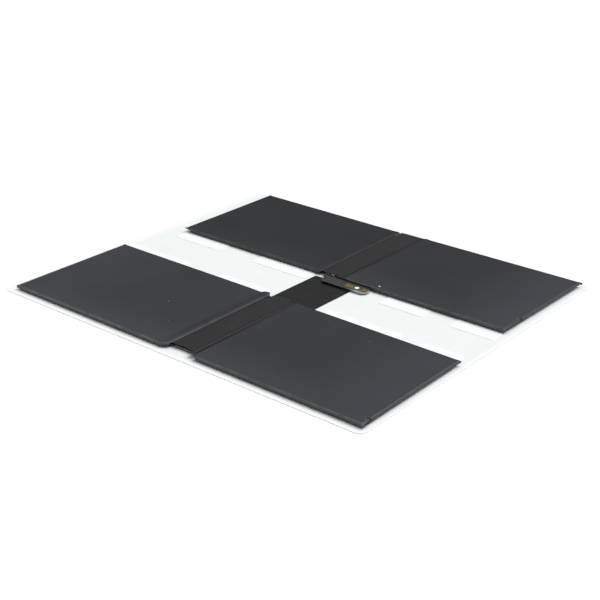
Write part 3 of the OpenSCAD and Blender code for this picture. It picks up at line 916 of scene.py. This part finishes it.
def ear_shell(form, at_rear, reach, tip, drop):
    """End of a folded side seal past the far end: a thin upright flap.

    tip is its lower edge's height at its end, and drop how much lower its upper edge is there.
    """
    s, v = np.meshgrid(np.linspace(0, 1, 12), np.linspace(0, 1, 8), indexing="ij")
    x = form.length - EAR_ROOT + s * (EAR_ROOT + reach)
    past = np.clip((x - form.length) / reach, 0, 1)
    root = form.tapers[at_rear][1]
    low = root + (tip - root) * past + 0.1 * past ** 6
    high = form.height - 0.06 - drop * ease(past * 2) - 0.1 * past ** 3
    z = low + (high - low) * v
    outer = 0.01 - 0.08 * past ** 2 + 0.14 * v ** 6
    inner = outer + FOLD_T * (0.95 - 0.35 * v ** 6)
    wide = form.width(form.length)
    if at_rear:
        outer, inner = wide - outer, wide - inner
    return slab(np.stack([x, outer, z], axis=2), np.stack([x, inner, z], axis=2))


def terminal_ear_shell(form):
    """Corner of the terminal edge that sticks out behind the cell, thinner and a little lower at its tip."""
    s, v = np.meshgrid(np.linspace(0, 1, 10), np.linspace(0, 1, 9), indexing="ij")
    near = TERMINAL_EAR_NEAR[0] + (TERMINAL_EAR_NEAR[1] - TERMINAL_EAR_NEAR[0]) * v
    far = TERMINAL_EAR_FAR[0] + (TERMINAL_EAR_FAR[1] - TERMINAL_EAR_FAR[0]) * v
    x = near + (far - near) * s
    y = form.width(0) - 0.6 + (TERMINAL_EAR_OUT + 0.6) * v - 0.25 * v ** 4 * (2 * s - 1) ** 2
    z = form.height - 0.06 + form.crest * hump(x, 1.2, 1.6) - 0.12 * v + 0.02 * np.sin(9 * s)
    under = z - 0.34 + 0.14 * v
    return slab(np.stack([x, y, z], axis=2), np.stack([x, y, under], axis=2))


def build_cell(name, longest, longer, ears, material, **shape):
    """Dressed pouch cell in the place of its node, whose box reaches past it to its longest ear."""
    low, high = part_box(name)
    left = high.x + low.x < 0
    terminal = (high.x if left else low.x) / MM
    turn = -1 if left else 1
    form = CellForm((high.x - low.x) / MM - longest + longer, **shape)
    points, faces, tags = cell_shell(form)
    extra = [ear_shell(form, *ear) for ear in ears]
    if name == TERMINAL_EAR_CELL:
        extra.append(terminal_ear_shell(form))
    points, faces = joined((points, faces), *extra)
    # The ears get a painted highlight through the edge value, and every point its painted sheen through the
    # tone
    tags += [0.3] * (len(points) - len(tags))
    tone = form.painted_sheen_tone(points)
    points = form.placed(points) * [turn, 1, 1] + [terminal, low.y / MM, low.z / MM]
    piece = make_piece(
        name + "_pouch", points, faces, "pouch_film", material, edge=tags, tone=tone)
    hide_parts(name)
    return piece


def sheet_piece(name, node, grid, thickness, slot, material, edge):
    """Thin closed sheet below a grid of top points in millimetres."""
    points, faces = slab(grid, grid - [0, 0, thickness])
    piece = make_piece(name, points, faces, slot, material, edge=np.concatenate([edge.ravel()] * 2))
    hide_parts(node)
    return piece


def tape_height(x, y, left, right, base, seed, dip):
    """Height of a cover tape across the strip: low beside the ridge, turned up at its right edge."""
    wing = 0.16 * ease((x - (right - 3.4)) / 3.0)
    swell = 0.025 * ripple(x * 2, y, seed, 24) * ease((x + 2) / 3)
    groove = dip * ease(1 - (x - left) / 3.4)
    return base + wing + swell + 0.06 * hump(x, 6.5, 6) - groove


def skewed(across, left, right, y, ends, places):
    """Moves places across a tape so that its right edge runs slanted between two places."""
    share = np.clip((y - ends[0]) / (ends[1] - ends[0]), 0, 1)
    edge = places[0] + (places[1] - places[0]) * share
    return left + (across - left) * (edge - left) / (right - left)


def build_front_tape(material):
    low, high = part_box("front_cover_tape")
    left, right = low.x / MM, high.x / MM
    front, rear = low.y / MM, high.y / MM
    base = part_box("rear_cover_tape")[0].z / MM + TAPE_T
    foot = low.z / MM + TAPE_T
    across = np.concatenate([
        np.linspace(left, 0, 12), np.linspace(0.4, 7.6, 12), np.linspace(7.9, 9.6, 9),
        np.linspace(10, 11.6, 4), np.linspace(11.7, 12.4, 6), np.linspace(12.7, right, 10)])
    share = np.concatenate([np.linspace(0, 0.8, 90), np.linspace(0.802, 1, 60)])
    lug = ease((across - LUG_X) / 0.6)
    start = front + LUG_OUT * (1 - lug) + 0.12 * ripple(across, 0 * across, 3, 6)
    drape = 1 - ease((across - DRAPE_X) / 1.4)
    end = FRONT_TAPE_END + (rear - FRONT_TAPE_END) * drape
    y = start[None, :] + (end - start)[None, :] * share[:, None]
    x = np.repeat(across[None, :], len(share), axis=0)
    x = skewed(x, left, right, y, (front, FRONT_TAPE_END), FRONT_TAPE_RIGHT)
    z = tape_height(x, y, left, right, base, 2, 0.16)
    run = 5.2 - 2.4 * ease((across - 5) / 3.5)
    fall = ease((y - DRAPE_START) / run[None, :]) * ease(drape * 3)[None, :]
    z = z + (foot - z) * fall - 0.12 * ease((y - DRAPE_START) / 1.2) * (1 - fall)
    # Edge values for the painted highlight: the turned-up right edge and the front end
    edge = np.maximum(hump(x, right - 0.3, 0.7), 0)
    edge[0, :] = 0.8
    return sheet_piece(
        "front_tape_sheet", "front_cover_tape", np.stack([x, y, z], axis=2), TAPE_T,
        "cover_tape", material, edge)


def build_rear_tape(material):
    low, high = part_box("rear_cover_tape")
    left, right = low.x / MM, high.x / MM
    across = np.concatenate([
        np.linspace(left, 1, 12), np.linspace(1.6, right - 3.6, 10), np.linspace(right - 3.3, right, 12)])
    share = np.linspace(0, 1, 110)
    start = low.y / MM + 0.35 * ripple(across, 0 * across, 8, 5) ** 2
    y = start[None, :] + (high.y / MM + REAR_TAPE_MORE - start)[None, :] * share[:, None]
    x = np.repeat(across[None, :], len(share), axis=0)
    x = skewed(x, left, right, y, (low.y / MM, high.y / MM), REAR_TAPE_RIGHT)
    z = tape_height(x, y, left, right, low.z / MM + TAPE_T, 6, 0.1)
    # Edge values for the painted highlight: the turned-up right edge and the front end
    edge = hump(x, right - 0.3, 0.6)
    edge[0, :] = 0.8
    return sheet_piece(
        "rear_tape_sheet", "rear_cover_tape", np.stack([x, y, z], axis=2), TAPE_T,
        "cover_tape", material, edge)


def lead_shell(x0, out, y, z):
    """Gull-wing lead: out of the package's side, down and out again on the board."""
    line = [(0, LEAD_RISE), (0.35 * out, LEAD_RISE), (0.6 * out, LEAD_T), (out, LEAD_T)]
    top = np.array([[(x0 + dx, y + side, z + dz) for dx, dz in line] for side in (-LEAD_W / 2, LEAD_W / 2)])
    return slab(top, top - [0, 0, LEAD_T])


def build_chip(name, body, metal):
    """Moulded package in the place of its node, with a row of leads on either side."""
    low, high = [np.array(v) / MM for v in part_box(name)]
    inner_low, inner_high = low + [LEAD_REACH, 0, 0.04], high - [LEAD_REACH, 0, 0]
    piece = make_piece(name + "_package", *rounded_box(inner_low, inner_high, 0.12, 3), "chip_epoxy", body)
    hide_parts(name)
    count = int((high[1] - low[1]) / LEAD_PITCH)
    places = (low[1] + high[1]) / 2 + (np.arange(count) - (count - 1) / 2) * LEAD_PITCH
    leads = [lead_shell(inner_low[0], -LEAD_REACH, y, low[2]) for y in places]
    leads += [lead_shell(inner_high[0], LEAD_REACH, y, low[2]) for y in places]
    make_piece(name + "_leads", *joined(*leads), "tin_plate", metal)


def build_capped(name, slot, body, metal):
    """Two-ended part in the place of its node: a body between two plated end caps."""
    low, high = [np.array(v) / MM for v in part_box(name)]
    inset = np.array([0.05, 0.1, 0.05])
    piece = make_piece(name + "_body", *rounded_box(low + inset, high - inset, 0.06), slot, body)
    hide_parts(name)
    caps = []
    for y in (low[1], high[1] - CAP_W):
        caps.append(rounded_box((low[0], y, low[2]), (high[0], y + CAP_W, high[2]), 0.09, 3))
    make_piece(name + "_caps", *joined(*caps), "tin_plate", metal)


def dress(names, material):
    """Gives a finish to the nodes whose own shape shows."""
    for name in names:
        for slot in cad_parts[name].material_slots:
            slot.material = material


def build_floor():
    mesh = bpy.data.meshes.new("floor")
    s = FLOOR_HALF
    mesh.from_pydata([(-s, -s, 0), (s, -s, 0), (s, s, 0), (-s, s, 0)], [], [(0, 1, 2, 3)])
    floor = bpy.data.objects.new("floor", mesh)
    bpy.context.scene.collection.objects.link(floor)
    floor.location.z = FLOOR_Z
    f = Finish("pale_floor", roughness=0.9, specular=0.1)
    path = add_node(f.tree, "ShaderNodeLightPath")
    seen = maths(f.tree, "MAXIMUM", path.outputs["Is Camera Ray"], path.outputs["Is Glossy Ray"])
    beside, behind = (
        maths(f.tree, "SUBTRACT", maths(f.tree, "ABSOLUTE", f.axis(k)), FLOOR_FROM[k]) for k in (0, 1))
    away = maths(f.tree, "MAXIMUM", beside, behind)
    # Painted shade: the floor's seen colour darkens beside the pack
    seen_with_painted_shade = blend_colour(f.tree, ramp(f.tree, away, 0.0, FLOOR_FADE), rgb(*FLOOR_NEAR_SHADE), rgb(*[FLOOR_SEEN] * 3))
    f.colour(blend_colour(f.tree, seen, rgb(*[FLOOR_COLOUR] * 3), seen_with_painted_shade))
    mesh.materials.append(f.material)


def add_lights():
    world = bpy.data.worlds.new("studio")
    bpy.context.scene.world = world
    world.use_nodes = True
    tree = world.node_tree
    back = tree.nodes["Background"]
    path = add_node(tree, "ShaderNodeLightPath")
    heading = add_node(tree, "ShaderNodeTexCoord").outputs["Generated"]
    height = add_node(tree, "ShaderNodeSeparateXYZ", {0: heading}).outputs[2]
    glow = ramp(tree, height, 0.15, 0.85, SKY_LOW, SKY_HIGH)
    strength = add_node(tree, "ShaderNodeMix", {0: path.outputs["Is Camera Ray"], 2: glow, 3: 1.0})
    tree.links.new(strength.outputs[0], back.inputs["Strength"])
    back.inputs["Color"].default_value = rgb(1, 1, 1)
    sun = bpy.data.lights.new("overhead_softbox", "SUN")
    sun.energy = SUN_STRENGTH
    sun.angle = math.radians(SUN_SPREAD)
    lamp = bpy.data.objects.new("overhead_softbox", sun)
    bpy.context.scene.collection.objects.link(lamp)
    lamp.location = (0, 0, 1)
    lamp.rotation_mode = "QUATERNION"
    lamp.rotation_quaternion = Vector((-SUN_LEAN[0], -SUN_LEAN[1], -1)).to_track_quat("-Z", "Y")


add_camera()
build_floor()
add_lights()

film = pouch_film()
tape = cover_tape()

# Each cell: node, how far the node's longest ear reaches past it, how much longer it is
# than the rest of the node, its ears as (at the rear, reach, lower edge at the tip, drop
# of the upper edge there), and its shape
CELLS = [
    ("front_left_cell", 0.8, 0.3, [(False, 0.7, 0.9, 0.3), (True, 0.3, 1.7, 0.1)], dict(
        seed=1, roll=0.3, crest=0.13, valley=0.17, slope=(0.4, 0.25), flap=0, proud=(1, 1),
        corner_r=5.0, tapers=[(8, 0.8), (4, 1.4)], near=(9, 1.5), spread=(0.7, 1.0),
        starts=(-1.2, -0.3), ends=(0, 0.2), sheen=(0.95, 0.1, 0.35), tone=(0.34, 0.26, 0.34))),
    ("front_right_cell", 1.2, 0.0, [(True, 0.25, 1.4, 0.0)], dict(
        seed=2, roll=0.1, crest=0.04, valley=0.03, slope=(0.7, 0.6), flap=5.0, proud=(0, 1),
        corner_r=0.8, tapers=[(2, 0.9), (4, 1.4)], near=(3.5, 1.9), spread=(1.2, 0.1),
        starts=(1.4, 0.1), ends=(0.1, -0.6), sheen=(0.8, 0.1, 0.0), tone=(0.26, 0.4, 0.3))),
    ("rear_left_cell", 1.0, 0.2, [(False, 0.8, 2.3, 0.1), (True, 0.3, 1.7, 0.1)], dict(
        seed=3, roll=0.2, crest=0.05, valley=0.0, slope=(0.4, 0.25), flap=0, proud=(1, 1),
        corner_r=0.8, tapers=[(14, 2.1), (4, 1.4)], near=(5, 1.6), spread=(-0.7, 0.3),
        starts=(-0.4, 0.3), ends=(0, 0), sheen=(0.5, 0.1, 0.15), tone=(0.02, 0.02, 0.13))),
    ("rear_right_cell", 2.4, 0.8, [(True, 0.7, 1.5, 0.0)], dict(
        seed=4, roll=0.1, crest=0.04, valley=0.03, slope=(0.6, 0.6), flap=16, proud=(0, 1),
        corner_r=0.8, tapers=[(2, 0.9), (4, 1.6)], near=(3.5, 1.9), spread=(0.6, 0.6),
        starts=(-1.5, -1.1), ends=(-0.8, 0.1), sheen=(0.8, 0.1, 0.0), tone=(0.14, 0.6, 0.25)))]
for name, longest, longer, ears, shape in CELLS:
    build_cell(name, longest, longer, ears, film, **shape)

build_front_tape(tape)
build_rear_tape(tape)

cells = [name for name, *_ in CELLS]
aluminium = tab_metal("tab_aluminium", (0.6, 0.6, 0.61), (0.75, 0.75, 0.76))
dress([name.replace("cell", "positive_tab") for name in cells], aluminium)
nickel = tab_metal("tab_nickel", (0.5, 0.48, 0.45), (0.62, 0.6, 0.57))
dress([name.replace("cell", "negative_tab") for name in cells], nickel)
dress(["front_board", "rear_board"], circuit_board())
dress(["front_foam_strip", "rear_foam_strip"], board_foam())
dress(["bridge_flex"], flex_film())
dress(["screw_eyelet"], tin_plate())
solder = solder_plate()
dress(["positive_contact_pad", "negative_contact_pad"], contact_gold())
epoxy = moulded_epoxy("chip_epoxy", (0.012, 0.012, 0.013), (0.02, 0.02, 0.021))
for name in ("gauge_chip", "protection_chip", "charge_mosfet", "discharge_mosfet"):
    build_chip(name, epoxy, solder)
glaze = moulded_epoxy("resistor_body", (0.03, 0.03, 0.03), (0.05, 0.05, 0.05))
ceramic = moulded_epoxy("capacitor_body", (0.25, 0.17, 0.1), (0.33, 0.24, 0.15))
for name, slot, body in (
        ("thermistor", "chip_epoxy", epoxy), ("front_thermal_fuse", "chip_epoxy", epoxy),
        ("rear_thermal_fuse", "chip_epoxy", epoxy), ("sense_resistor", "resistor_body", glaze),
        ("input_capacitor", "capacitor_body", ceramic), ("filter_capacitor", "capacitor_body", ceramic)):
    build_capped(name, slot, body, solder)
strips = [name.replace("cell", end + "_adhesive") for name in cells for end in ("outer", "inner")]
dress(strips, white_adhesive())
dress(["release_liner"], liner_film())

bpy.context.scene.view_settings.view_transform = "Standard"
